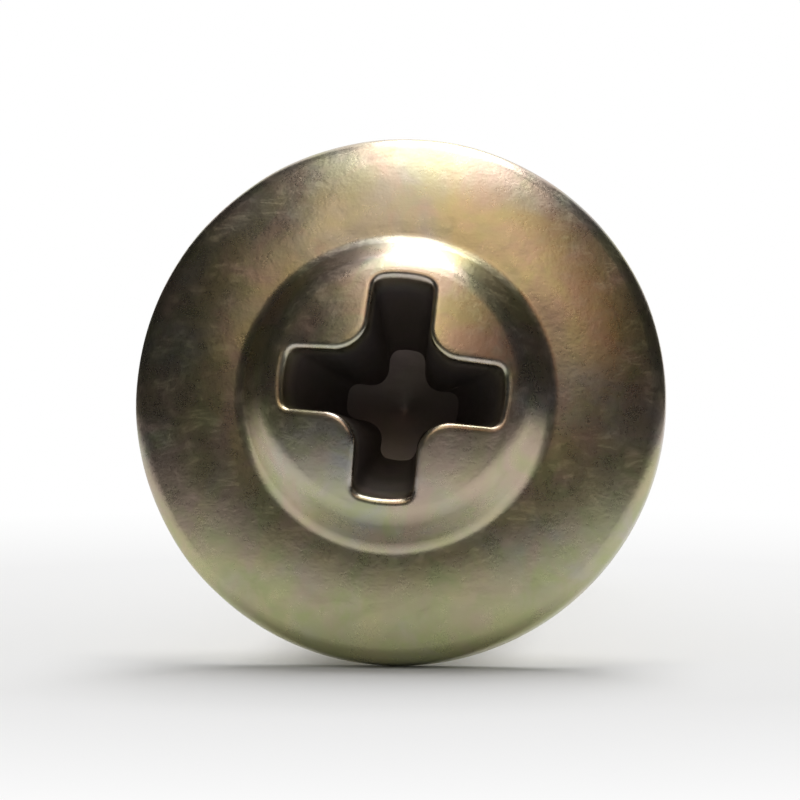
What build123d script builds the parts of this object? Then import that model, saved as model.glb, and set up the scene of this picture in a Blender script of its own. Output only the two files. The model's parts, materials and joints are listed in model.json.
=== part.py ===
from build123d import *

import os
from math import asin, atan, atan2, ceil, cos, degrees, hypot, pi, radians, sin, sqrt, tan

# A self-drilling screw, ST4.2 x 19, with a modified truss head and a size 2 cross recess.
# It is one piece of cold-formed steel wire: headed, punched, pinched to a point and thread rolled.
# It is drawn upright first: the bearing face under the head is at z = 0, the head stands above
# it and the drill point hangs below. Then it is laid down as it comes to rest on a table.
# Lengths are in millimetres and angles in degrees.

# Overall: the length runs from the bearing face to the end of the point
nominal_length = 19.0
head_diameter = 10.8

# Cross recess, size 2
wing_count = 4
recess_reach = 4.56
wing_width = 1.22
recess_root_diameter = 2.29
recess_end_lean = 26.5
recess_bottom_slope = 28.0
wing_side_draft = 5.75
recess_ridge_radius = 0.85
wing_corner_radius = 0.22
recess_lip_radius = 0.08
recess_turn = -5.0

# Head: a wide crowned flange, and on it a raised round button that holds the recess
head_height = 2.35
rim_height = 0.76
rim_upper_radius = 0.42
rim_lower_radius = 0.15
flange_crown = 0.11
recess_land = 0.87
button_foot_height = 1.28
button_side_lean = 38.0
button_edge_radius = 0.7
button_foot_radius = 0.2
dome_rise = 0.45
under_head_radius = 0.45

# Thread: right-hand, with one start
thread_diameter = 4.2
thread_depth = 0.57
pitch = 1.4
crest_width = 0.1
flank_angle = 60.0
thread_start = 0.7
thread_run_in = 0.7
thread_run_out = 1.8
flank_points = 9

# Drill point: two straight flutes between two lands
flute_count = 2
thread_bite = 0.3
drill_length = 6.2
core_swell_length = 1.1
lip_slope = 34.0
heel_slope = 43.0
web_thickness = 0.8
flute_opening = 90.0
flute_bottom_radius = 0.3
flute_straight_length = 4.1
flute_run_out_radius = 2.5

# How far cutters reach past what they cut, and how deep the ends of joined pieces are buried
overshoot = 0.5
buried_depth = 0.08
settling_rounds = 6

head_radius = head_diameter / 2
button_radius = recess_reach / 2 + recess_land
crest_radius = thread_diameter / 2
root_radius = crest_radius - thread_depth
buried_radius = root_radius - buried_depth
drill_radius = crest_radius - thread_bite
full_thread_start = thread_start + thread_run_in
drill_start = nominal_length - drill_length
full_thread_end = drill_start - thread_run_out
core_swell_start = drill_start - core_swell_length


# One turn of the threaded bar: its end-on section, whose flanks are spirals, twisted through a
# full turn over one pitch.
flank_run = thread_depth * tan(radians(flank_angle / 2))
crest_half_turn = 360 * crest_width / 2 / pitch
foot_half_turn = 360 * (crest_width / 2 + flank_run) / pitch


def flank_spiral(side):
    """Points along a flank in the end-on section, from its foot at the root up to the crest."""
    points = []
    for step in range(flank_points):
        share = step / (flank_points - 1)
        radius = root_radius + share * thread_depth
        angle = radians(side * (foot_half_turn + share * (crest_half_turn - foot_half_turn)))
        points.append((radius * cos(angle), radius * sin(angle)))
    return points


with BuildSketch() as thread_section:
    with BuildLine():
        CenterArc((0, 0), crest_radius, -crest_half_turn, 2 * crest_half_turn)
        Spline(*flank_spiral(1))
        CenterArc((0, 0), root_radius, foot_half_turn, 360 - 2 * foot_half_turn)
        Spline(*flank_spiral(-1))
    make_face()
one_turn = Solid.extrude_linear_with_rotation(
    thread_section.face(), center=(0, 0, 0), normal=(0, 0, pitch), angle=360
)

# Rolling moves metal from the grooves into the crests, so the plain neck is as thick as a wire
# with the thread's own section area.
neck_radius = sqrt(thread_section.sketch.area / pi)


# The headed end: button, flange and neck in one turned outline. The neck narrows into the
# thread's core, where its end is buried.
button_edge_height = head_height - dome_rise
button_edge_inset = (button_edge_height - button_foot_height) * tan(radians(button_side_lean))
button_edge = (button_radius - button_edge_inset, button_edge_height)
button_foot = (button_radius, button_foot_height)
rim_top = (head_radius, rim_height)
rim_bottom = (head_radius, 0)
neck_top = (neck_radius, 0)
dome_radius = (button_edge[0] ** 2 + dome_rise**2) / (2 * dome_rise)

with BuildPart() as headed_end:
    with BuildSketch(Plane.XZ) as head_section:
        with BuildLine():
            RadiusArc((0, head_height), button_edge, dome_radius)
            Line(button_edge, button_foot)
            SagittaArc(button_foot, rim_top, flange_crown)
            Polyline(
                rim_top,
                rim_bottom,
                neck_top,
                (neck_radius, -thread_start),
                (buried_radius, -full_thread_start),
                (0, -full_thread_start),
                (0, head_height),
            )
        make_face()
        for corner, radius in (
            (button_edge, button_edge_radius),
            (button_foot, button_foot_radius),
            (rim_top, rim_upper_radius),
            (rim_bottom, rim_lower_radius),
            (neck_top, under_head_radius),
        ):
            fillet(head_section.vertices().sort_by_distance((*corner, 0))[0], radius)
    revolve(axis=Axis.Z)


# The threaded bar: turns stacked down the shank, then cut to an outline that lets the thread
# rise out of the neck and die away into the drill body. The bar's ends are buried in them.
rise_slope = (crest_radius - neck_radius) / thread_run_in
fall_slope = thread_bite / thread_run_out
clear_radius = crest_radius + overshoot
bar_top = -thread_start + buried_depth / rise_slope
bar_bottom = -drill_start - buried_depth / fall_slope
turn_count = ceil((bar_top - bar_bottom) / pitch)

with BuildPart() as thread_outline:
    with BuildSketch(Plane.XZ):
        Polygon(
            (0, bar_top),
            (neck_radius - buried_depth, bar_top),
            (clear_radius, -full_thread_start - overshoot / rise_slope),
            (clear_radius, -full_thread_end + overshoot / fall_slope),
            (drill_radius - buried_depth, bar_bottom),
            (0, bar_bottom),
            align=None,
        )
    revolve(axis=Axis.Z)

with BuildPart() as threaded_bar:
    for turn in range(turn_count):
        with Locations((0, 0, bar_top - (turn + 1) * pitch)):
            add(one_turn)
    add(thread_outline.part, mode=Mode.INTERSECT)


# The drill body, a little thicker than the thread's core and thinner than its crests.
with BuildPart() as drill_body:
    with BuildSketch(Plane.XZ):
        Polygon(
            (0, -core_swell_start),
            (buried_radius, -core_swell_start),
            (drill_radius, -drill_start),
            (drill_radius, -nominal_length),
            (0, -nominal_length),
            align=None,
        )
    revolve(axis=Axis.Z)


# One flute's cutter, for the side that faces -Y: a V with a round bottom, straight up from the
# point and then run out along an arc.
flute_apex = web_thickness / 2 / sin(radians(flute_opening / 2))
flute_bottom = flute_apex + flute_bottom_radius * (1 / sin(radians(flute_opening / 2)) - 1)
flute_reach = flute_bottom + flute_run_out_radius
flute_half_width = (flute_reach - flute_apex) * tan(radians(flute_opening / 2))
flute_top = flute_straight_length - nominal_length

with BuildPart() as flute_cutter:
    with BuildSketch(Plane.XY.offset(flute_top)) as flute_section:
        Polygon(
            (0, -flute_apex),
            (-flute_half_width, -flute_reach),
            (flute_half_width, -flute_reach),
            align=None,
        )
        fillet(flute_section.vertices().sort_by_distance((0, 0, 0))[0], flute_bottom_radius)
    extrude(amount=-flute_straight_length - overshoot)
    run_out_axis = Axis((0, -flute_reach, flute_top), (1, 0, 0))
    revolve(flute_section.sketch, axis=run_out_axis, revolution_arc=90)


# One end facet's cutter, for the land that faces +X. The facet slopes back from the chisel edge,
# more steeply towards the land's heel than along its lip, so that only the lip meets the work.
half_land = radians(90 - flute_opening / 2)
lip_rise = tan(radians(lip_slope))
heel_rise = tan(radians(heel_slope))
rise_outward = (heel_rise + lip_rise) / (2 * cos(half_land))
rise_to_heel = (heel_rise - lip_rise) / (2 * sin(half_land))
facet_plane = Plane(origin=(0, 0, -nominal_length), z_dir=(rise_outward, rise_to_heel, -1))

with BuildPart() as facet_cutter:
    with BuildSketch(facet_plane):
        Rectangle(head_diameter, head_diameter)
    extrude(amount=nominal_length)


# The punch that forms the cross recess: a turned pin with a blunt cone end, in which four
# leaning grooves leave the wings. The recess is its print.
reach_radius = recess_reach / 2
recess_root_radius = recess_root_diameter / 2
mouth_height = head_height - dome_radius + sqrt(dome_radius**2 - reach_radius**2)
wing_depth = (reach_radius - recess_root_radius) / tan(radians(recess_end_lean))
recess_depth = wing_depth + recess_root_radius * tan(radians(recess_bottom_slope))
groove_apex = wing_width / 2 * sqrt(2)
groove_lean = atan(sqrt(2) * tan(radians(wing_side_draft)))
groove_plane = Plane(
    origin=(groove_apex, 0, mouth_height),
    x_dir=(0, 1, 0),
    z_dir=(sin(groove_lean), 0, cos(groove_lean)),
)

with BuildPart() as groove_cutter:
    with BuildSketch(groove_plane) as groove_section:
        Polygon((0, 0), (head_radius, -head_radius), (-head_radius, -head_radius), align=None)
        fillet(groove_section.vertices().sort_by_distance((0, 0, 0))[0], recess_ridge_radius)
    extrude(amount=recess_depth + overshoot, both=True)

with BuildPart() as recess_punch:
    with BuildSketch(Plane.XZ):
        Polygon(
            (0, mouth_height + overshoot),
            (reach_radius + overshoot * tan(radians(recess_end_lean)), mouth_height + overshoot),
            (recess_root_radius, mouth_height - wing_depth),
            (0, mouth_height - recess_depth),
            align=None,
        )
    revolve(axis=Axis.Z)
    with PolarLocations(0, wing_count, start_angle=180 / wing_count):
        add(groove_cutter.part, mode=Mode.SUBTRACT)
    wing_corners = recess_punch.edges().filter_by(GeomType.HYPERBOLA).group_by(Edge.length)[-1]
    fillet(wing_corners, wing_corner_radius)


# How it rests: on the rim of the head, and at the point on both corners of the flute that faces
# down. One is a lip's corner and the other, a little further back, is the other land's heel.
# The tilt and the roll depend on each other, so they are settled in turns.
corner_angle = radians(flute_opening / 2) - asin(web_thickness / 2 / drill_radius)
corner_side = drill_radius * sin(corner_angle)
corner_drop = drill_radius * cos(corner_angle)
lip_corner_rise = rise_outward * corner_side - rise_to_heel * corner_drop
heel_setback = 2 * rise_to_heel * corner_drop
rim_contact_radius = head_radius - rim_lower_radius
tilt = 0.0
roll = 0.0
for _ in range(settling_rounds):
    across = rim_contact_radius - drill_radius * cos(corner_angle + roll)
    along = rim_lower_radius + nominal_length - lip_corner_rise
    tilt = atan2(across, along) + asin(rim_lower_radius / hypot(across, along))
    roll = asin(heel_setback * tan(tilt) / (2 * corner_side))


def on_mouth(edge):
    """Whether an edge of the dome runs round the recess's mouth: both its ends are that far in."""
    ends = (edge @ 0, edge @ 1)
    return all(hypot(end.X, end.Y) < reach_radius + recess_lip_radius for end in ends)


# The whole screw, upright.
with BuildPart() as upright_screw:
    add(headed_end.part)
    add(threaded_bar.part)
    add(drill_body.part)
    with PolarLocations(0, flute_count, start_angle=degrees(roll)):
        add(flute_cutter.part, mode=Mode.SUBTRACT)
        add(facet_cutter.part, mode=Mode.SUBTRACT)
    add(recess_punch.part, rotation=(0, 0, recess_turn), mode=Mode.SUBTRACT)
    dome = upright_screw.faces().sort_by(Axis.Z)[-1]
    fillet(dome.edges().filter_by(on_mouth), recess_lip_radius)


# Laid down: the head faces -Y and looks a little up, the point lies towards +Y, and the rim and
# the point touch z = 0. The origin is under the middle of the screw's outer box.
head_direction = (0, -cos(tilt), sin(tilt))
bearing_height = rim_lower_radius + rim_contact_radius * cos(tilt) - rim_lower_radius * sin(tilt)
first_plane = Plane(origin=(0, 0, bearing_height), x_dir=(1, 0, 0), z_dir=head_direction)
middle = upright_screw.part.moved(first_plane.location).bounding_box().center()
lying_plane = Plane(
    origin=(0, -middle.Y, bearing_height), x_dir=(1, 0, 0), z_dir=head_direction
)

with BuildPart(lying_plane) as screw:
    add(upright_screw.part)
screw.part.label = "screw"

os.makedirs("parts", exist_ok=True)
export_step(screw.part, "parts/screw.step")

print("tilt", round(degrees(tilt), 3), "roll", round(degrees(roll), 3))
print("neck diameter", round(2 * neck_radius, 3), "recess depth", round(recess_depth, 3))
print("bearing face centre", lying_plane.origin, "head direction", lying_plane.z_dir)
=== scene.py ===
# %% [markdown]
# # A self-drilling screw
# The screw is one piece of steel: headed, punched, pinched to a drill point, thread rolled and
# then zinc plated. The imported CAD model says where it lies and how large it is. Here one mesh
# stands for it, made from four stretches that share their edge rings: the head with its
# recess, the neck, the rolled thread and the drill point.

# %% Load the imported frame
import json
from math import asin, atan2, ceil, cos, degrees, hypot, pi, radians, sin, sqrt, tan

import bmesh
import bpy
from mathutils import Matrix, Vector, noise


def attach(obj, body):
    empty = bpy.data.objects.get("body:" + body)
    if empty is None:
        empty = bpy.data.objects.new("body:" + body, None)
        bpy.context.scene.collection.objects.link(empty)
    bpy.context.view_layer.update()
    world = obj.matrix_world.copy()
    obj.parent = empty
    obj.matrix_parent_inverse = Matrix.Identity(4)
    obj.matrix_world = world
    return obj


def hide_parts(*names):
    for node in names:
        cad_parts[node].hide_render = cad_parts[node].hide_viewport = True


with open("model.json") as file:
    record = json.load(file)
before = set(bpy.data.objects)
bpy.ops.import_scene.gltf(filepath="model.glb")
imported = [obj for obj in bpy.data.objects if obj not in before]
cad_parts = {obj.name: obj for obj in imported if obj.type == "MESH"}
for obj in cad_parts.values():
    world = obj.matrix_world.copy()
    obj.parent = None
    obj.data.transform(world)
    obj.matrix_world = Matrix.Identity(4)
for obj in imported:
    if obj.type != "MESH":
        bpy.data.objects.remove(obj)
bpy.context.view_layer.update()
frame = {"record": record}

scene = bpy.context.scene

# %% [markdown]
# ## Where the screw lies
# It is easiest to model a turned part upright, with the bearing face under the head at z = 0,
# the head above and the point below, in millimetres. The record's mounts say where the drive
# recess and the bearing face ended up once the screw was laid down, so one matrix can carry the
# finished mesh there. No position is typed in by hand.

# %% The lying screw's own axes
MILLIMETRE = 0.001
mounts = {mount["name"]: mount for mount in frame["record"]["mounts"]}
toward_head = Vector(mounts["drive_recess"]["axis"]).normalized()
on_axis = Vector(mounts["drive_recess"]["pos_m"])
on_bearing_face = Vector(mounts["bearing_face"]["pos_m"])
bearing_centre = on_axis - toward_head * (on_axis - on_bearing_face).dot(toward_head)
sideways = Vector((1, 0, 0))
up_the_face = toward_head.cross(sideways)
lying = Matrix.Translation(bearing_centre) @ Matrix.Scale(MILLIMETRE, 4) @ Matrix(
    (sideways, up_the_face, toward_head)
).transposed().to_4x4()
tilt = asin(toward_head.z)
print("bearing face centre", bearing_centre, "tilt", round(degrees(tilt), 2))

# %% [markdown]
# ## Camera
# The view is almost straight onto the head, from a little to the right and a little above the
# table, with a long lens so that the head isn't stretched. It aims at the middle of the head's
# rim, and its distance comes from the width of what the frame should show.

# %% A long lens onto the head
HEAD_DIAMETER = 10.8
VIEW_AZIMUTH = radians(5.0)
VIEW_ELEVATION = radians(3.0)
HEAD_SHARE_OF_FRAME = 531 / 800
view_back = Vector(
    (
        sin(VIEW_AZIMUTH) * cos(VIEW_ELEVATION),
        -cos(VIEW_AZIMUTH) * cos(VIEW_ELEVATION),
        sin(VIEW_ELEVATION),
    )
)
camera_data = bpy.data.cameras.new("camera")
camera_data.lens = 200
frame_width = HEAD_DIAMETER * MILLIMETRE / HEAD_SHARE_OF_FRAME
view_distance = frame_width * camera_data.lens / camera_data.sensor_width
camera_data.clip_start = 0.005
camera_data.clip_end = 5
camera = bpy.data.objects.new("camera", camera_data)
scene.collection.objects.link(camera)
aim = lying @ Vector((0, 0, 0.4))
camera.location = aim + view_back * view_distance
camera.rotation_mode = "QUATERNION"
camera.rotation_quaternion = (-view_back).to_track_quat("-Z", "Y")
scene.camera = camera
scene.view_settings.view_transform = "Standard"
print("camera distance", round(view_distance, 4))

# %% [markdown]
# ## Nodes written as arithmetic
# Both the thread and the plating are worked out by nodes. A small class wraps a node's output
# so that ordinary Python arithmetic adds the Math nodes, and one function places any other node:
# its settings go in first, because they can change which sockets it has, and then its values
# and links.

# %% A wrapped socket and a node maker
def put_node(tree, kind, settings=None, values=None):
    """Adds a node, sets it up, then gives its sockets plain values or links. Returns the node."""
    node = tree.nodes.new(kind)
    for name, value in (settings or {}).items():
        setattr(node, name, value)
    for key, value in (values or {}).items():
        if isinstance(value, Wire):
            tree.links.new(value.output, node.inputs[key])
        else:
            node.inputs[key].default_value = value
    return node


class Wire:
    """A node's output. Arithmetic on it adds Math nodes to its tree."""

    def __init__(self, node, key=0):
        self.output = node.outputs[key]
        self.tree = node.id_data

    def maths(self, operation, *operands):
        values = dict(enumerate(operands))
        return Wire(put_node(self.tree, "ShaderNodeMath", {"operation": operation}, values))

    def __add__(self, other):
        return self.maths("ADD", self, other)

    def __radd__(self, other):
        return self.maths("ADD", other, self)

    def __sub__(self, other):
        return self.maths("SUBTRACT", self, other)

    def __rsub__(self, other):
        return self.maths("SUBTRACT", other, self)

    def __mul__(self, other):
        return self.maths("MULTIPLY", self, other)

    def __rmul__(self, other):
        return self.maths("MULTIPLY", other, self)

    def __truediv__(self, other):
        return self.maths("DIVIDE", self, other)

    def at_least(self, other):
        return self.maths("MAXIMUM", self, other)

    def at_most(self, other):
        return self.maths("MINIMUM", self, other)

    def span(self, low, high, to_low=0.0, to_high=1.0):
        """Maps low..high to to_low..to_high and holds the ends."""
        values = {0: self, 1: low, 2: high, 3: to_low, 4: to_high}
        return Wire(put_node(self.tree, "ShaderNodeMapRange", {"clamp": True}, values))


# %% [markdown]
# ## The drive recess
# A punch with four tapering wings leaves a cross-shaped recess. From its mouth each wing's sides
# and end lean inwards, the ridges between the wings are rounded, and a blunt cone closes the
# bottom. Cutting it with a boolean would leave long thin faces that shade badly, so the recess is
# lofted instead: every column of the head's mesh starts at the middle of the cone, climbs its own
# line of the wall and comes out over the lip.

# %% Sizes of the recess
WING_COUNT = 4
MOUTH_REACH = 2.28
WING_HALF_WIDTH = 0.61
RECESS_ROOT = 1.145
END_LEAN = radians(26.5)
BOTTOM_SLOPE = radians(28)
SIDE_DRAFT = radians(5.75)
RIDGE_RADIUS = 0.66
WING_CORNER_RADIUS = 0.22
LIP_RADIUS = 0.12
RECESS_TURN = radians(-5)
HEAD_HEIGHT = 2.35
BUTTON_EDGE = (2.6656, 1.9)
DOME_RISE = HEAD_HEIGHT - BUTTON_EDGE[1]
DOME_RADIUS = (BUTTON_EDGE[0] ** 2 + DOME_RISE**2) / (2 * DOME_RISE)


def dome_height(radius):
    return HEAD_HEIGHT - DOME_RADIUS + sqrt(DOME_RADIUS**2 - radius**2)


MOUTH_HEIGHT = dome_height(MOUTH_REACH)
WING_DEPTH = (MOUTH_REACH - RECESS_ROOT) / tan(END_LEAN)
RECESS_DEPTH = WING_DEPTH + RECESS_ROOT * tan(BOTTOM_SLOPE)
print("recess depth", round(RECESS_DEPTH, 3))

# %% [markdown]
# One eighth of the recess is enough, because it mirrors about each wing's middle and about each
# ridge. Its outline at any height runs along the wing's end, round the corner, down the side and
# round half a ridge, and a fixed number of columns goes to each of these.

# %% One column's place on the wall
END_COLUMNS, CORNER_COLUMNS, SIDE_COLUMNS, RIDGE_COLUMNS = 6, 5, 8, 13
CORNER_START = END_COLUMNS
SIDE_START = CORNER_START + CORNER_COLUMNS
RIDGE_START = SIDE_START + SIDE_COLUMNS
EIGHTH_COLUMNS = RIDGE_START + RIDGE_COLUMNS
HEAD_COLUMNS = 2 * WING_COUNT * EIGHTH_COLUMNS


def eighth_outline(column, height):
    """The wall's place and its way into the metal, for a column between a wing and a ridge."""
    depth = MOUTH_HEIGHT - height
    half_width = WING_HALF_WIDTH - depth * tan(SIDE_DRAFT)
    reach = MOUTH_REACH - depth * tan(END_LEAN)
    corner = Vector((0, half_width - WING_CORNER_RADIUS))
    corner.x = sqrt((reach - WING_CORNER_RADIUS) ** 2 - corner.y**2)
    corner_angle = atan2(corner.y, corner.x)
    ridge_radius = min(RIDGE_RADIUS, corner.x - half_width)
    ridge = Vector((half_width + ridge_radius, half_width + ridge_radius))
    if column <= CORNER_START:
        angle = corner_angle * column / END_COLUMNS
        outward = Vector((cos(angle), sin(angle)))
        return outward * reach, outward
    if column <= SIDE_START:
        share = (column - CORNER_START) / CORNER_COLUMNS
        angle = corner_angle + share * (pi / 2 - corner_angle)
        outward = Vector((cos(angle), sin(angle)))
        return corner + outward * WING_CORNER_RADIUS, outward
    if column <= RIDGE_START:
        share = (column - SIDE_START) / SIDE_COLUMNS
        return Vector((corner.x + share * (ridge.x - corner.x), half_width)), Vector((0, 1))
    share = (column - RIDGE_START) / RIDGE_COLUMNS
    outward = Vector((sin(share * pi / 4), cos(share * pi / 4)))
    return ridge - outward * ridge_radius, outward


def recess_outline(column, height):
    """The same for any of the head's columns, counted round from the first wing's middle."""
    wing, within = divmod(column, 2 * EIGHTH_COLUMNS)
    if within <= EIGHTH_COLUMNS:
        place, outward = eighth_outline(within, height)
    else:
        place, outward = eighth_outline(2 * EIGHTH_COLUMNS - within, height)
        place, outward = place.yx, outward.yx
    turn = Matrix.Rotation(RECESS_TURN + wing * 2 * pi / WING_COUNT, 2)
    return turn @ place, turn @ outward


print("columns round the head", HEAD_COLUMNS)

# %% [markdown]
# The wall doesn't end at one height. Its top follows the dome, and its foot follows the cone, so
# each column looks for both: the top by stepping towards the dome's height, and the foot by
# halving the stretch in which it must cross the cone.

# %% Top and foot of a column
SETTLING_STEPS = 8
HALVING_STEPS = 30


def wall_top(column):
    height = MOUTH_HEIGHT
    for _ in range(SETTLING_STEPS):
        height = dome_height(recess_outline(column, height)[0].length)
    return height


def wall_foot(column):
    low, high = MOUTH_HEIGHT - RECESS_DEPTH, MOUTH_HEIGHT - WING_DEPTH
    deepest = low
    for _ in range(HALVING_STEPS):
        middle = (low + high) / 2
        cone_radius = (middle - deepest) / tan(BOTTOM_SLOPE)
        if recess_outline(column, middle)[0].length > cone_radius:
            low = middle
        else:
            high = middle
    return high


# %% [markdown]
# ## A mesh built from rings
# The head and the drill point are grids wrapped round the axis: rings of points, each joined to
# the next by quads. Three small helpers do it, and the same bmesh takes every stretch.

# %% Rings and the faces between them
screw_mesh = bmesh.new()


def add_ring(points):
    return [screw_mesh.verts.new(point) for point in points]


def join_rings(first, second):
    count = len(first)
    for index in range(count):
        after = (index + 1) % count
        screw_mesh.faces.new((first[index], first[after], second[after], second[index]))


def close_ring(ring, point):
    """Closes a ring with triangles to one point on the axis."""
    tip = screw_mesh.verts.new(point)
    for index in range(len(ring)):
        screw_mesh.faces.new((ring[index], ring[(index + 1) % len(ring)], tip))


def join_all(rings):
    for first, second in zip(rings, rings[1:]):
        join_rings(first, second)


# %% [markdown]
# ### From the bottom of the recess out to the edge of the button
# The cone's rings shrink towards its tip. The wall's rings share out each column's own height.
# The lip is a short quadratic curve that leaves the wall and meets the dome in their own
# directions. Past it the columns fan out over the dome, each aimed so that neighbours never
# cross, and end in a circle just inside the button's edge.

# %% Loft the recess and the dome
CONE_SHARES = (0.12, 0.3, 0.5, 0.7, 0.86)
WALL_RINGS = 16
LIP_STEPS = 4
DOME_SHARES = (0.1, 0.22, 0.36, 0.52, 0.68, 0.84, 1.0)
FAN_REACH = 0.45
BUTTON_EDGE_START = 2.46


def raised(place, height):
    return Vector((place.x, place.y, height))


columns = range(HEAD_COLUMNS)
tops = [wall_top(column) for column in columns]
feet = [wall_foot(column) for column in columns]
deepest_point = (0, 0, MOUTH_HEIGHT - RECESS_DEPTH)
foot_places = [recess_outline(column, feet[column])[0] for column in columns]

recess_rings = []
for share in CONE_SHARES:
    heights = [deepest_point[2] + share * (foot - deepest_point[2]) for foot in feet]
    recess_rings.append(
        add_ring(raised(foot_places[column] * share, heights[column]) for column in columns)
    )
for step in range(WALL_RINGS + 1):
    points = []
    for column in columns:
        highest = tops[column] - LIP_RADIUS
        height = feet[column] + (highest - feet[column]) * step / WALL_RINGS
        points.append(raised(recess_outline(column, height)[0], height))
    recess_rings.append(add_ring(points))

lip_ends, fan_angles = [], []
for column in columns:
    edge, outward = recess_outline(column, tops[column])
    lip_end = edge + outward * LIP_RADIUS
    lip_ends.append(lip_end)
    aimed = edge + outward * FAN_REACH
    fan_angles.append(atan2(aimed.y, aimed.x))
for step in range(1, LIP_STEPS + 1):
    share = step / LIP_STEPS
    points = []
    for column in columns:
        below = tops[column] - LIP_RADIUS
        start = raised(recess_outline(column, below)[0], below)
        middle = raised(recess_outline(column, tops[column])[0], tops[column])
        end = raised(lip_ends[column], dome_height(lip_ends[column].length))
        points.append(
            start * (1 - share) ** 2 + middle * (2 * share * (1 - share)) + end * share**2
        )
    recess_rings.append(add_ring(points))
for share in DOME_SHARES:
    points = []
    for column in columns:
        angle = fan_angles[column]
        target = Vector((cos(angle), sin(angle))) * BUTTON_EDGE_START
        place = lip_ends[column].lerp(target, share)
        points.append(raised(place, dome_height(place.length)))
    recess_rings.append(add_ring(points))
close_ring(recess_rings[0], deepest_point)
join_all(recess_rings)
print("recess and dome", len(recess_rings), "rings")

# %% [markdown]
# ### The turned outline of the head
# Outside the recess the head is turned: a low button with a soft edge, a wide crowned flange, a
# rounded rim, the flat bearing face and the fillet into the neck. Its outline is a list of
# corners, each with the radius that rounds it, which is how a drawing would give it.

# %% Corners with radii, turned into a fine outline
def round_corner(before, corner, after, radius, steps):
    """Points of the arc that rounds a corner between two straight runs."""
    back = (before - corner).normalized()
    ahead = (after - corner).normalized()
    half_angle = back.angle(ahead) / 2
    centre = corner + (back + ahead).normalized() * (radius / sin(half_angle))
    start = corner + back * (radius / tan(half_angle)) - centre
    end = corner + ahead * (radius / tan(half_angle)) - centre
    turn = start.angle_signed(end)
    return [centre + Matrix.Rotation(-turn * step / steps, 2) @ start for step in range(steps + 1)]


def rounded_outline(corners):
    """Corners are (radius from the axis, height, rounding, steps). The two ends stay sharp."""
    places = [Vector(corner[:2]) for corner in corners]
    outline = [places[0]]
    for index in range(1, len(corners) - 1):
        rounding, steps = corners[index][2:]
        if rounding:
            outline += round_corner(*places[index - 1 : index + 2], rounding, steps)
        else:
            outline.append(places[index])
    return outline + [places[-1]]


# %% Sizes of the flange and the rim
HEAD_RADIUS = HEAD_DIAMETER / 2
BUTTON_FOOT = (3.15, 1.28)
RIM_TOP = (HEAD_RADIUS, 0.76)
FLANGE_CROWN = 0.11
CROWN_SHARES = (0.12, 0.22, 0.32, 0.42, 0.52, 0.62, 0.72, 0.8, 0.87)


def crown_points():
    """The flange's gentle arc, bulging out of the straight line from the button to the rim."""
    foot, rim = Vector(BUTTON_FOOT), Vector(RIM_TOP)
    bulge = Vector((foot.y - rim.y, rim.x - foot.x)).normalized() * FLANGE_CROWN
    return [
        (*(foot.lerp(rim, share) + bulge * (4 * share * (1 - share))), 0, 0)
        for share in CROWN_SHARES
    ]


head_outline = rounded_outline(
    [
        (BUTTON_EDGE_START, dome_height(BUTTON_EDGE_START), 0, 0),
        (*BUTTON_EDGE, 0.7, 10),
        (*BUTTON_FOOT, 0.35, 7),
        *crown_points(),
        (*RIM_TOP, 0.42, 9),
        (HEAD_RADIUS, 0, 0.15, 5),
        (4.6, 0, 0, 0),
        (3.9, 0, 0, 0),
    ]
)
print("head outline", len(head_outline), "points")

# %% [markdown]
# The columns left the dome bunched up at the ridges. Over the flange they relax until they stand
# evenly at the rim, where the outline against the background shows any unevenness. The shank
# needs only half as many columns, so the bearing face, which is flat, is where every second
# column stops.

# %% Turn the head, then halve the columns
DRILL_ROLL = radians(3.576)
EVEN_BY_RADIUS = 4.9
SHANK_COLUMNS = HEAD_COLUMNS // 2
column_step = 2 * pi / HEAD_COLUMNS
shift = round((DRILL_ROLL - RECESS_TURN) / column_step)
unwrapped = []
for column, angle in enumerate(fan_angles):
    even = RECESS_TURN + column * column_step
    unwrapped.append(even + (angle - even + pi) % (2 * pi) - pi)


def relaxed_angle(column, radius):
    share = min(1, max(0, (radius - BUTTON_EDGE_START) / (EVEN_BY_RADIUS - BUTTON_EDGE_START)))
    share = share * share * (3 - 2 * share)
    even = DRILL_ROLL + (column - shift) * column_step
    return unwrapped[column] + share * (even - unwrapped[column])


head_rings = [recess_rings[-1]]
furthest = 0
for radius, height in head_outline[1:]:
    furthest = max(furthest, radius)
    angles = [relaxed_angle(column, furthest) for column in columns]
    head_rings.append(add_ring((radius * cos(a), radius * sin(a), height) for a in angles))
join_all(head_rings)


def shank_ring(radius, height):
    angles = [DRILL_ROLL + index * 2 * pi / SHANK_COLUMNS for index in range(SHANK_COLUMNS)]
    return add_ring((radius * cos(a), radius * sin(a), height) for a in angles)


def halve_columns(fine, coarse):
    for index in range(SHANK_COLUMNS):
        left, right = coarse[index], coarse[(index + 1) % SHANK_COLUMNS]
        outer = [fine[(shift + 2 * index + step) % HEAD_COLUMNS] for step in range(3)]
        screw_mesh.faces.new((left, outer[0], outer[1]))
        screw_mesh.faces.new((left, outer[1], right))
        screw_mesh.faces.new((right, outer[1], outer[2]))


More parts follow.
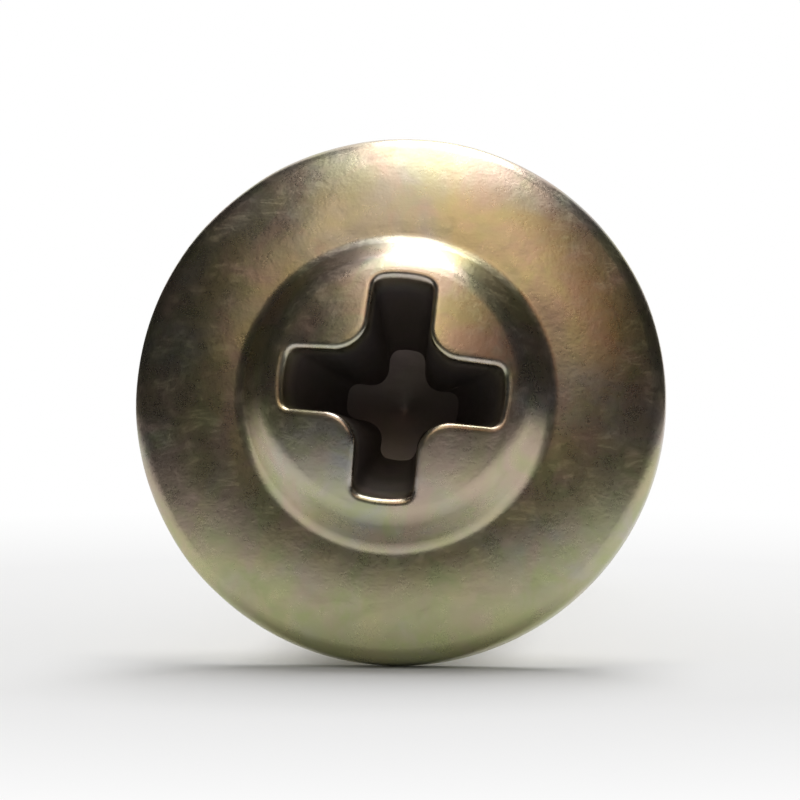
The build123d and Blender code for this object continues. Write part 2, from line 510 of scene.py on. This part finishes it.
# %% The neck
CREST_RADIUS = 2.1
THREAD_DEPTH = 0.57
PITCH = 1.4
CREST_HALF_WIDTH = 0.05
FLANK_RUN = THREAD_DEPTH * tan(radians(30))
ROOT_RADIUS = CREST_RADIUS - THREAD_DEPTH
NECK_RADIUS = 1.7174461
THREAD_START = -0.7
neck_outline = rounded_outline(
    [
        (3.1, 0, 0, 0),
        (2.5, 0, 0, 0),
        (NECK_RADIUS, 0, 0.45, 8),
        (NECK_RADIUS, THREAD_START, 0, 0),
    ]
)
neck_rings = [shank_ring(radius, height) for radius, height in neck_outline]
halve_columns(head_rings[-1], neck_rings[0])
join_all(neck_rings)
print("head and neck", len(screw_mesh.faces), "faces")

# %% [markdown]
# ## The rolled thread
# Two dies roll the thread: metal pushed out of the groove rises into the crest, so the plain neck
# is thicker than the thread's core. The shape follows one rule all the way down, which suits
# Geometry Nodes. A flat grid is wrapped round the axis with its rows laid along the helix. A
# point's distance from the nearest crest then gives its radius: crest, straight flank, or the
# core with a rounded root. The thread rises out of the neck, and dies away into the drill body.

# %% A node tree for a rolled thread
FULL_THREAD_START = -1.4
FULL_THREAD_END = -11.0
CORE_SWELL_START = -11.7
DRILL_START = -12.8
DRILL_RADIUS = 1.8
ROOT_ROUNDING = 0.14
ROWS_PER_TURN = 28
WELD_DISTANCE = 0.0005

thread_tree = bpy.data.node_groups.new("rolled_thread", "GeometryNodeTree")
thread_sizes = {
    "Pitch": PITCH,
    "Crest Radius": CREST_RADIUS,
    "Root Radius": ROOT_RADIUS,
    "Crest Half Width": CREST_HALF_WIDTH,
    "Flank Run": FLANK_RUN,
    "Root Rounding": ROOT_ROUNDING,
    "Neck Radius": NECK_RADIUS,
    "Drill Radius": DRILL_RADIUS,
    "Thread Start": THREAD_START,
    "Full Thread Start": FULL_THREAD_START,
    "Full Thread End": FULL_THREAD_END,
    "Core Swell Start": CORE_SWELL_START,
    "Drill Start": DRILL_START,
    "First Crest": 0.0,
    "Turns": 1.0,
    "Start Angle": DRILL_ROLL,
}
for name in thread_sizes:
    thread_tree.interface.new_socket(name, in_out="INPUT", socket_type="NodeSocketFloat")
for name in ("Columns", "Rows"):
    thread_tree.interface.new_socket(name, in_out="INPUT", socket_type="NodeSocketInt")
thread_tree.interface.new_socket("Finish", in_out="INPUT", socket_type="NodeSocketMaterial")
thread_tree.interface.new_socket("Mesh", in_out="OUTPUT", socket_type="NodeSocketGeometry")

size_inputs = thread_tree.nodes.new("NodeGroupInput")
size = {name: Wire(size_inputs, name) for name in (*thread_sizes, "Columns", "Rows", "Finish")}

# %% [markdown]
# The grid's own x says how far round a point is, and its y how many turns down. Rows that reach
# past either end are held at that end, where the weld gathers them into one plain ring that fits
# the neck's last ring and the drill body's first.

# %% Wrap the grid and give each point its radius
grid = put_node(
    thread_tree,
    "GeometryNodeMeshGrid",
    values={"Vertices X": size["Columns"] + 1, "Vertices Y": size["Rows"] + 1},
)
split = put_node(
    thread_tree,
    "ShaderNodeSeparateXYZ",
    values={0: Wire(put_node(thread_tree, "GeometryNodeInputPosition"))},
)
turn_share = Wire(split, "X") + 0.5
turns_down = (Wire(split, "Y") + 0.5) * size["Turns"]
height = size["First Crest"] + size["Pitch"] * (turn_share - turns_down)
height = height.at_most(size["Thread Start"]).at_least(size["Drill Start"])

from_crest = (height - size["First Crest"]) / size["Pitch"] - turn_share
from_crest = from_crest.maths("PINGPONG", from_crest, 0.5) * size["Pitch"]
down_flank = (from_crest - size["Crest Half Width"]).at_least(0) / size["Flank Run"]
ridge = size["Crest Radius"] - down_flank * (size["Crest Radius"] - size["Root Radius"])
starts = (size["Thread Start"], size["Full Thread Start"])
swells = (size["Core Swell Start"], size["Drill Start"])
ends = (size["Full Thread End"], size["Drill Start"])
core = height.span(*starts, size["Neck Radius"], size["Root Radius"])
core = core + height.span(*swells, 0.0, size["Drill Radius"] - size["Root Radius"])
limit = height.span(*starts, size["Neck Radius"], size["Crest Radius"])
limit = limit - height.span(*ends, 0.0, size["Crest Radius"] - size["Drill Radius"])
radius = core.maths("SMOOTH_MAX", core, ridge, size["Root Rounding"]).at_most(limit)
angle = size["Start Angle"] + turn_share * (2 * pi)
wrapped = put_node(
    thread_tree,
    "ShaderNodeCombineXYZ",
    values={
        "X": radius * angle.maths("COSINE", angle),
        "Y": radius * angle.maths("SINE", angle),
        "Z": height,
    },
)

# %% Weld the seam and finish the tree
moved = put_node(
    thread_tree,
    "GeometryNodeSetPosition",
    values={"Geometry": Wire(grid, "Mesh"), "Position": Wire(wrapped)},
)
welded = put_node(
    thread_tree,
    "GeometryNodeMergeByDistance",
    values={"Geometry": Wire(moved), "Distance": WELD_DISTANCE},
)
real = put_node(thread_tree, "GeometryNodeRealizeInstances", values={"Geometry": Wire(welded)})
coated = put_node(
    thread_tree,
    "GeometryNodeSetMaterial",
    values={"Geometry": Wire(real), "Material": size["Finish"]},
)
put_node(thread_tree, "NodeGroupOutput", values={"Mesh": Wire(coated)})

# %% [markdown]
# The bar of thread was cut from whole turns stacked down from just under the neck, so the first
# crest's height is known, and the number of turns is what it takes to reach the drill body.
# A modifier on an empty mesh runs the tree. Its inputs are set by each socket's identifier, and
# the evaluated result is copied out as a plain mesh.

# %% Roll it
RIDGE_BURIED = 0.08
rise_slope = (CREST_RADIUS - NECK_RADIUS) / (THREAD_START - FULL_THREAD_START)
first_crest = THREAD_START + RIDGE_BURIED / rise_slope + PITCH * DRILL_ROLL / (2 * pi)
turns = ceil((first_crest - DRILL_START) / PITCH) + 1

plating = bpy.data.materials.new("zinc_plating")
thread_values = {
    **thread_sizes,
    "First Crest": first_crest,
    "Turns": float(turns),
    "Columns": SHANK_COLUMNS,
    "Rows": turns * ROWS_PER_TURN,
    "Finish": plating,
}
thread_maker = bpy.data.objects.new("thread_maker", bpy.data.meshes.new("thread_maker"))
scene.collection.objects.link(thread_maker)
rolling = thread_maker.modifiers.new("rolled_thread", "NODES")
rolling.node_group = thread_tree
for item in thread_tree.interface.items_tree:
    if item.in_out == "INPUT":
        rolling[item.identifier] = thread_values[item.name]
bpy.context.view_layer.update()
evaluated = thread_maker.evaluated_get(bpy.context.evaluated_depsgraph_get())
thread_mesh = bpy.data.meshes.new_from_object(evaluated)
bpy.data.objects.remove(thread_maker)
screw_mesh.from_mesh(thread_mesh)
print("thread", turns, "turns of rows,", len(thread_mesh.polygons), "faces")

# %% [markdown]
# ## The drill point
# Two flutes are pinched into the end of the wire, and each of the two lands between them ends
# in a facet that slopes back from the chisel edge. A flute is a V with a round bottom. It runs
# straight up from the point and then swings out along an arc until it leaves the body. Here the
# section's radius is worked out for each column, and the columns stand on the flute's corners so
# that the cutting edges stay sharp.

# %% Sizes of the flutes
POINT = -19.0
FLUTE_APEX = 0.4 * sqrt(2)
FLUTE_BOTTOM_RADIUS = 0.3
FLUTE_TOP = -14.9
RUN_OUT_RADIUS = 2.5
RISE_OUTWARD = 1.13641
RISE_TO_HEEL = 0.18246
rounding_centre = FLUTE_APEX + FLUTE_BOTTOM_RADIUS * sqrt(2)
flute_pivot = rounding_centre - FLUTE_BOTTOM_RADIUS + RUN_OUT_RADIUS
flute_corner = radians(45) - asin(FLUTE_APEX / sqrt(2) / DRILL_RADIUS)


def flute_floor(across):
    """How far from the axis the flute's section begins, at a distance across it."""
    if across < FLUTE_BOTTOM_RADIUS / sqrt(2):
        return rounding_centre - sqrt(FLUTE_BOTTOM_RADIUS**2 - across**2)
    return FLUTE_APEX + across


def run_out_height(off_middle):
    """Where the flute leaves the body's surface, above the end of its straight stretch."""
    across, along = DRILL_RADIUS * sin(off_middle), DRILL_RADIUS * cos(off_middle)
    rise = (flute_pivot - flute_floor(across)) ** 2 - (flute_pivot - along) ** 2
    return sqrt(max(0, rise))


def flute_radius(off_middle, rise):
    """The section's radius in the flute, for an angle off its middle and a height of run-out."""
    low, high = 0.3, DRILL_RADIUS
    for _ in range(HALVING_STEPS):
        middle = (low + high) / 2
        reach = flute_pivot - flute_floor(middle * sin(off_middle))
        floor = flute_pivot - sqrt(max(0, reach**2 - rise**2))
        if middle * cos(off_middle) < floor:
            low = middle
        else:
            high = middle
    return low


print("flute corner", round(degrees(flute_corner), 2), "degrees off its middle")

# %% [markdown]
# Rows follow the shape too. The first rows go down the body to the line where the flute breaks
# its surface, the next go down the run-out, and the last go down the straight flute to the
# facets. On a land the run-out rows have no height, and the weld at the end removes them.

# %% Build the drill point
FLUTE_COLUMNS = 14
BODY_ROWS, RUN_OUT_ROWS, STRAIGHT_ROWS = 7, 10, 14
FACET_SHARES = (0.8, 0.6, 0.4, 0.2)
quarter = SHANK_COLUMNS // 4


def facet_height(x, y):
    """The end facets' height over a point, in axes turned with the flutes."""
    return POINT + abs(RISE_OUTWARD * x + RISE_TO_HEEL * y)


def drill_column(index):
    """The column's even angle, its settled angle, and how far that is off a flute's middle."""
    even = index * 2 * pi / SHANK_COLUMNS
    nearest = pi / 2 if index < 2 * quarter else 3 * pi / 2
    steps = (index - quarter) if index < 2 * quarter else (index - 3 * quarter)
    beyond = abs(steps) - FLUTE_COLUMNS
    if beyond <= 0:
        off_middle = flute_corner * abs(steps) / FLUTE_COLUMNS
    else:
        land = pi / 2 - flute_corner
        off_middle = flute_corner + land * beyond / (quarter - FLUTE_COLUMNS)
    settled = nearest + (off_middle if steps >= 0 else -off_middle)
    return even, settled, off_middle


def place_round(radius, angle, height):
    return (radius * cos(angle + DRILL_ROLL), radius * sin(angle + DRILL_ROLL), height)


drill_columns = [drill_column(index) for index in range(SHANK_COLUMNS)]
drill_rows = [[] for _ in range(BODY_ROWS + RUN_OUT_ROWS + STRAIGHT_ROWS + len(FACET_SHARES) + 1)]
for even, settled, off_middle in drill_columns:
    path = []
    in_flute = off_middle < flute_corner - 1e-6
    break_out = run_out_height(off_middle) if in_flute else 0
    surface_end = FLUTE_TOP + break_out
    for row in range(BODY_ROWS + 1):
        share = row / BODY_ROWS
        height = DRILL_START + share * (surface_end - DRILL_START)
        path.append(place_round(DRILL_RADIUS, even + share * (settled - even), height))
    for row in range(1, RUN_OUT_ROWS + 1):
        rise = break_out * (1 - row / RUN_OUT_ROWS)
        radius = flute_radius(off_middle, rise) if in_flute else DRILL_RADIUS
        path.append(place_round(radius, settled, FLUTE_TOP + rise))
    radius = flute_radius(off_middle, 0) if in_flute else DRILL_RADIUS
    end = facet_height(radius * cos(settled), radius * sin(settled))
    for row in range(1, STRAIGHT_ROWS + 1):
        height = FLUTE_TOP + (end - FLUTE_TOP) * row / STRAIGHT_ROWS
        path.append(place_round(radius, settled, height))
    for share in FACET_SHARES:
        height = facet_height(share * radius * cos(settled), share * radius * sin(settled))
        path.append(place_round(share * radius, settled, height))
    for row, point in zip(drill_rows, path):
        row.append(point)
drill_rings = [add_ring(row) for row in drill_rows]
join_all(drill_rings)
close_ring(drill_rings[-1], (0, 0, POINT))
print("drill point", len(drill_rings), "rings")

# %% [markdown]
# ## One closed skin
# The stretches meet in rings that lie on each other, so one weld joins them. Faces that lost
# their area go with it, the normals are turned outwards together, and edges sharper than a
# chosen angle are marked, so that the smooth shading breaks at cutting edges and thread crests.
# A cold-formed head is never quite true, so a slow noise moves its outside in and out by about
# a hundredth of a millimetre, which is enough to bend a reflection a little.

# %% Weld, turn the faces outwards and mark sharp edges
SHARP_ANGLE = radians(34)
bmesh.ops.remove_doubles(screw_mesh, verts=screw_mesh.verts, dist=WELD_DISTANCE)
bmesh.ops.dissolve_degenerate(screw_mesh, edges=screw_mesh.edges, dist=WELD_DISTANCE / 5)
bmesh.ops.recalc_face_normals(screw_mesh, faces=screw_mesh.faces)
screw_mesh.normal_update()

UNEVENNESS = 0.012
WAVES_PER_MILLIMETRE = 0.8
FORMED_ABOVE = 0.16
moves = []
for vert in screw_mesh.verts:
    clear_of_recess = (hypot(vert.co.x, vert.co.y) - MOUTH_REACH) / LIP_RADIUS
    if vert.co.z > FORMED_ABOVE and clear_of_recess > 0:
        wave = noise.noise(vert.co * WAVES_PER_MILLIMETRE) * min(1, clear_of_recess)
        moves.append((vert, vert.normal * (wave * UNEVENNESS)))
for vert, move in moves:
    vert.co += move
for face in screw_mesh.faces:
    face.smooth = True
for edge in screw_mesh.edges:
    edge.smooth = len(edge.link_faces) == 2 and edge.calc_face_angle() < SHARP_ANGLE
open_edges = [edge for edge in screw_mesh.edges if len(edge.link_faces) != 2]
print("open edges", len(open_edges), "volume", round(screw_mesh.calc_volume(), 2), "mm3")

# %% [markdown]
# The finish needs to know two things about each point: how deep it is in the recess, where little
# light comes out and the plating is darkened with painted shade, and how far it stands out as an
# edge, where the plating is painted brighter, partly as rubbed zinc and partly as a painted
# highlight. Both are stored on the mesh, so that they follow it.

# %% Mark the recess and the edges
SHADE_DEPTH = 0.4
EDGE_SHARPNESS = 0.35
in_recess = screw_mesh.verts.layers.float.new("in_recess")
on_edge = screw_mesh.verts.layers.float.new("on_edge")
screw_mesh.normal_update()
recess_floor = MOUTH_HEIGHT - RECESS_DEPTH - LIP_RADIUS
for vert in screw_mesh.verts:
    radius = hypot(vert.co.x, vert.co.y)
    if vert.co.z > 0:
        within = radius < MOUTH_REACH + LIP_RADIUS
    else:
        within = vert.co.z > recess_floor and radius < ROOT_RADIUS - LIP_RADIUS
    if within:
        # This depth sets how strongly the recess is darkened with painted shade.
        depth = dome_height(radius) - LIP_RADIUS - vert.co.z
        vert[in_recess] = min(1, max(0, depth / SHADE_DEPTH))
    bend = 0
    for edge in vert.link_edges:
        along = edge.other_vert(vert).co - vert.co
        bend = max(bend, -along.normalized().dot(vert.normal))
    vert[on_edge] = min(1, bend / EDGE_SHARPNESS)

# %% [markdown]
# The mesh was built upright in millimetres. The one matrix from the start lays it down in
# metres, and the object itself stays at the origin, unturned.

# %% Lay the finished mesh down
body_mesh = bpy.data.meshes.new("screw_body")
screw_mesh.to_mesh(body_mesh)
screw_mesh.free()
body_mesh.transform(lying)
body_mesh.materials.clear()
body_mesh.materials.append(plating)
screw_body = bpy.data.objects.new("screw_body", body_mesh)
scene.collection.objects.link(screw_body)
print("triangles", sum(len(face.vertices) - 2 for face in body_mesh.polygons))

# %% [markdown]
# ## Zinc plating
# Bright zinc is sealed with a thin yellow passivate. Its film is a few hundred nanometres thick,
# so it shows straw, olive and rose clouds where it runs thicker or thinner, and plain grey where
# it is almost gone. A thin-film calculation would be lost in the export, so the clouds are soft
# noise that mixes four metal colours. All patterns are measured in millimetres on the object's
# own coordinates, which the piece keeps because its mesh lies in place.

# %% Coordinates and soft clouds
PER_MILLIMETRE = 1 / MILLIMETRE
plating.use_nodes = True
plating.node_tree.nodes.clear()
coordinates = Wire(put_node(plating.node_tree, "ShaderNodeTexCoord"), "Object")


def in_millimetres(stretch=(1, 1, 1), turn=(0, 0, 0)):
    """The place on the screw, in millimetres, turned and stretched for a pattern with a grain."""
    scale = tuple(PER_MILLIMETRE * share for share in stretch)
    values = {"Vector": coordinates, "Rotation": turn, "Scale": scale}
    return Wire(put_node(plating.node_tree, "ShaderNodeMapping", None, values))


plain_place = in_millimetres()


def cloud(scale, detail, distortion=0.0, place=plain_place):
    """Soft noise with a scale per millimetre."""
    values = {
        "Vector": place,
        "Scale": scale,
        "Detail": detail,
        "Roughness": 0.55,
        "Distortion": distortion,
    }
    return Wire(put_node(plating.node_tree, "ShaderNodeTexNoise", None, values))


def blend_colour(share, first, second):
    settings = {"data_type": "RGBA", "clamp_factor": True}
    values = {0: share, 6: first, 7: second}
    return Wire(put_node(plating.node_tree, "ShaderNodeMix", settings, values), 2)


def stored(name):
    """A value that was stored on the mesh."""
    settings = {"attribute_type": "GEOMETRY", "attribute_name": name}
    return Wire(put_node(plating.node_tree, "ShaderNodeAttribute", settings), "Fac")


# %% [markdown]
# The clouds of colour are stronger towards the bottom. Near the table the film turns darker and
# yellow-green, partly the film's own colour and partly painted shade where the bottom of the head
# reflects the shadowed table. The rim, the crests and the cutting edges are painted brighter,
# partly as zinc rubbed by other screws in the box and partly as a painted highlight. The recess
# is darkened with painted shade.

# %% Colour of the plating
STRAW = (0.57, 0.5, 0.31, 1)
OLIVE = (0.46, 0.48, 0.26, 1)
ROSE = (0.57, 0.43, 0.36, 1)
GREY = (0.47, 0.46, 0.43, 1)
RECESS_SHADE = (0.1, 0.08, 0.085, 1)
FILM_AND_BOTTOM_SHADE = (0.36, 0.38, 0.17, 1)
BARE_ZINC_AND_HIGHLIGHT = (0.74, 0.72, 0.68, 1)
height_on_screw = Wire(
    put_node(plating.node_tree, "ShaderNodeSeparateXYZ", None, {0: plain_place}), "Z"
)
# The colour clouds grow stronger towards the bottom.
towards_bottom = height_on_screw.span(8.0, 1.0, 0.35, 1.0)
straw_share = (cloud(0.5, 2, 0.4) + towards_bottom * 0.16).span(0.42, 0.68)
tone = blend_colour(straw_share, GREY, STRAW)
tone = blend_colour(cloud(1.3, 3, 0.8).span(0.42, 0.64) * towards_bottom, tone, OLIVE)
tone = blend_colour(cloud(0.9, 3, 0.6).span(0.46, 0.66) * 0.75, tone, ROSE)
# Partly film colour, partly painted shade: towards the table the head turns darker and
# yellow-green, standing for the shadowed table that it reflects.
bottom_film_and_shade = (height_on_screw + cloud(0.8, 2) * 2).span(4.0, 1.2, 0.0, 0.65)
tone = blend_colour(bottom_film_and_shade, tone, FILM_AND_BOTTOM_SHADE)
# Convex edges are painted brighter: partly zinc rubbed bare, partly a painted highlight along the
# lip and the rim.
rubbed_and_highlight = (stored("on_edge") * cloud(1.7, 3).span(0.35, 0.6)).span(0.25, 1.0, 0.0, 0.7)
tone = blend_colour(rubbed_and_highlight, tone, BARE_ZINC_AND_HIGHLIGHT)
# Painted shade: the recess is darkened with its depth, and made rougher and less metallic.
painted_recess_shade = stored("in_recess")
tone = blend_colour(painted_recess_shade.span(0.0, 1.0, 0.0, 0.86), tone, RECESS_SHADE)

# %% [markdown]
# The film is satin, not mirror bright, and in the recess the painted shade also dulls it and
# makes it less of a metal. Zinc crystals a few hundredths of a millimetre across break up the
# reflection, broader patches are a little smoother or duller, and handling leaves fine scuffs. A
# scuff is where a long, stretched noise crosses its own middle value, which gives thin lines, and
# three directions of them look random.

# %% Roughness, grain and scuffs
SCUFF_TURNS = ((0.3, 0.2, 0.5), (1.1, 0.4, 2.0), (0.2, 1.3, 0.9))
crystals = cloud(18, 1)
patches = cloud(2.2, 3, 0.4)
scuffs = None
for turn in SCUFF_TURNS:
    stretched = cloud(2.6, 1, 0.0, in_millimetres((0.12, 1.0, 1.0), turn))
    off_line = stretched.maths("ABSOLUTE", stretched - 0.5)
    line = off_line.span(0.0, 0.03, 1.0, 0.0) * patches.span(0.46, 0.6)
    scuffs = line if scuffs is None else scuffs.at_least(line)
roughness = patches.span(0.3, 0.7, 0.27, 0.32) + (crystals - 0.5) * 0.08
roughness = roughness + painted_recess_shade * 0.25 + scuffs * 0.06
relief = crystals * 0.22 + cloud(4.5, 2) * 0.9 - scuffs * 0.07
bump = Wire(
    put_node(
        plating.node_tree,
        "ShaderNodeBump",
        None,
        {"Strength": 0.3, "Distance": 0.012 * MILLIMETRE, "Height": relief},
    )
)
surface = put_node(
    plating.node_tree,
    "ShaderNodeBsdfPrincipled",
    None,
    {"Base Color": tone, "Metallic": 1 - painted_recess_shade * 0.1, "Roughness": roughness, "Normal": bump},
)
put_node(plating.node_tree, "ShaderNodeOutputMaterial", None, {"Surface": Wire(surface)})
print("plating", len(plating.node_tree.nodes), "nodes")

# %% [markdown]
# ## The table and the light
# Metal shows what stands round it, so its light is laid out as in a product studio. The
# surroundings are white to the camera and to reflections, and plainly weaker as a lamp. Dark
# cloths hang on three sides and give the head its dark flanks, and a tan card, a brown one and
# white ones stand above the camera and lie on the head as soft warm bands. A low grey card
# keeps the button's lower half from going black. A softbox overhead lights the top of the rim
# and leaves the soft shadow on the table.

# %% White surroundings
def reflecting(rays):
    """Is 1 for a ray that shows its surroundings in metal or glass."""
    return Wire(rays, "Is Glossy Ray").at_least(Wire(rays, "Is Transmission Ray"))


world = bpy.data.worlds.new("white_studio")
scene.world = world
world.use_nodes = True
world.node_tree.nodes.clear()
rays = put_node(world.node_tree, "ShaderNodeLightPath")
seen = Wire(rays, "Is Camera Ray").at_least(reflecting(rays))
AMBIENT = 0.4
background = put_node(
    world.node_tree,
    "ShaderNodeBackground",
    values={"Color": (1, 1, 1, 1), "Strength": seen.span(0, 1, AMBIENT, 1)},
)
put_node(world.node_tree, "ShaderNodeOutputWorld", values={"Surface": Wire(background)})


# %% Pieces of the stage
def stage_piece(name, points, faces, material):
    piece_mesh = bpy.data.meshes.new(name)
    piece_mesh.from_pydata(points, [], faces)
    piece_mesh.materials.append(material)
    piece = bpy.data.objects.new(name, piece_mesh)
    scene.collection.objects.link(piece)
    return piece


# %% [markdown]
# The table is matte white paper. Near the screw it keeps its shading and the shadow. Further
# out it fades into plain white, soon for the camera and later for reflections, while the light
# that it throws on the screw stays as it is.

# %% The table top
TABLE_HALF = 1.0
WHITE = (0.84, 0.84, 0.84, 1)
CAMERA_FADE = (0.016, 0.032)
REFLECTION_FADE = (0.03, 0.09)
table_top = bpy.data.materials.new("table_top")
table_top.use_nodes = True
tree = table_top.node_tree
tree.nodes.clear()
rays = put_node(tree, "ShaderNodeLightPath")
place = put_node(tree, "ShaderNodeTexCoord")
distance = Wire(
    put_node(
        tree, "ShaderNodeVectorMath", {"operation": "LENGTH"}, {0: Wire(place, "Object")}
    ),
    "Value",
)
white_out = Wire(rays, "Is Camera Ray") * distance.span(*CAMERA_FADE)
white_out = white_out.at_least(reflecting(rays) * distance.span(*REFLECTION_FADE))
matte = put_node(tree, "ShaderNodeBsdfDiffuse", values={"Color": WHITE})
plain_white = put_node(tree, "ShaderNodeEmission", values={"Color": (1, 1, 1, 1), "Strength": 1.0})
table_mix = put_node(
    tree, "ShaderNodeMixShader", values={0: white_out, 1: Wire(matte), 2: Wire(plain_white)}
)
put_node(tree, "ShaderNodeOutputMaterial", values={"Surface": Wire(table_mix)})
table_corners = [
    (TABLE_HALF * x, TABLE_HALF * y, 0) for x, y in ((-1, -1), (1, -1), (1, 1), (-1, 1))
]
stage_piece("table", table_corners, [(0, 1, 2, 3)], table_top)
print("table", 2 * TABLE_HALF, "m across")

# %% [markdown]
# A card is a strip of a sphere round the screw, made of flat facets. It glows instead of being
# lit, so its colour and strength are known, and it shows only in reflections: the camera, the
# shadows and the diffuse light pass through it.

# %% Cards bent round the screw
def glow(name, colour, strength):
    material = bpy.data.materials.new(name)
    material.use_nodes = True
    material.node_tree.nodes.clear()
    shine = put_node(
        material.node_tree, "ShaderNodeEmission", values={"Color": colour, "Strength": strength}
    )
    put_node(material.node_tree, "ShaderNodeOutputMaterial", values={"Surface": Wire(shine)})
    return material


def from_centre(azimuth, elevation, distance):
    """A point round the screw: azimuth from the viewer's side towards +X, in degrees."""
    a, e = radians(azimuth), radians(elevation)
    return Vector((sin(a) * cos(e), -cos(a) * cos(e), sin(e))) * distance


CARD_FACET = 8


def curved_card(name, azimuths, elevations, distance, material):
    """A card bent round the screw, made of flat strips, that lights it but isn't seen."""
    across = max(1, round((azimuths[1] - azimuths[0]) / CARD_FACET))
    rows = max(1, round((elevations[1] - elevations[0]) / CARD_FACET))
    points, faces = [], []
    for column in range(across + 1):
        azimuth = azimuths[0] + (azimuths[1] - azimuths[0]) * column / across
        for row in range(rows + 1):
            elevation = elevations[0] + (elevations[1] - elevations[0]) * row / rows
            points.append(from_centre(azimuth, elevation, distance))
    for column in range(across):
        for row in range(rows):
            first = column * (rows + 1) + row
            faces.append((first, first + 1, first + rows + 2, first + rows + 1))
    card = stage_piece(name, points, faces, material)
    card.visible_camera = False
    card.visible_diffuse = False
    card.visible_shadow = False


# %% Hang the cloths and stand the cards
dark_cloth = glow("dark_cloth", (1, 1, 1, 1), 0.02)
tan_paper = glow("tan_paper", (1.0, 0.8, 0.6, 1), 1.3)
brown_paper = glow("brown_paper", (1.0, 0.54, 0.32, 1), 0.36)
grey_paper = glow("grey_paper", (1, 1, 1, 1), 0.33)
white_paper = glow("white_paper", (1.0, 0.97, 0.93, 1), 4.0)
curved_card("dark_tent", (-150, 150), (0, 88), 0.5, dark_cloth)
curved_card("dark_skirt", (-150, 150), (0, 16), 0.06, dark_cloth)
curved_card("low_grey_card", (-36, 36), (0, 6), 0.055, grey_paper)
curved_card("tan_reflector", (-18, 15), (28, 56), 0.3, tan_paper)
curved_card("brown_reflector", (14, 32), (25, 50), 0.32, brown_paper)
curved_card("white_reflector", (-24, 28), (57, 71), 0.13, white_paper)
curved_card("white_reflector_top", (-48, 52), (71, 89), 0.13, white_paper)

# %% [markdown]
# The softbox is the only lamp. It is larger than the screw is long, which keeps the shadow's
# edge soft, and it hangs a little behind the head, so that the top of the rim catches it.

# %% The overhead softbox
SOFTBOX_WIDTH = 0.07
SOFTBOX_LENGTH = 0.16
SOFTBOX_PLACE = (0.012, 0.06, 0.16)
SOFTBOX_WATTS = 0.23
softbox_data = bpy.data.lights.new("softbox", "AREA")
softbox_data.shape = "RECTANGLE"
softbox_data.size = SOFTBOX_WIDTH
softbox_data.size_y = SOFTBOX_LENGTH
softbox_data.energy = SOFTBOX_WATTS
softbox = bpy.data.objects.new("softbox", softbox_data)
softbox.location = SOFTBOX_PLACE
scene.collection.objects.link(softbox)
print("softbox", SOFTBOX_WATTS, "W")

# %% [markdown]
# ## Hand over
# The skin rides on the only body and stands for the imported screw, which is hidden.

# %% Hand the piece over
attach(screw_body, "root")
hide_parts("screw")
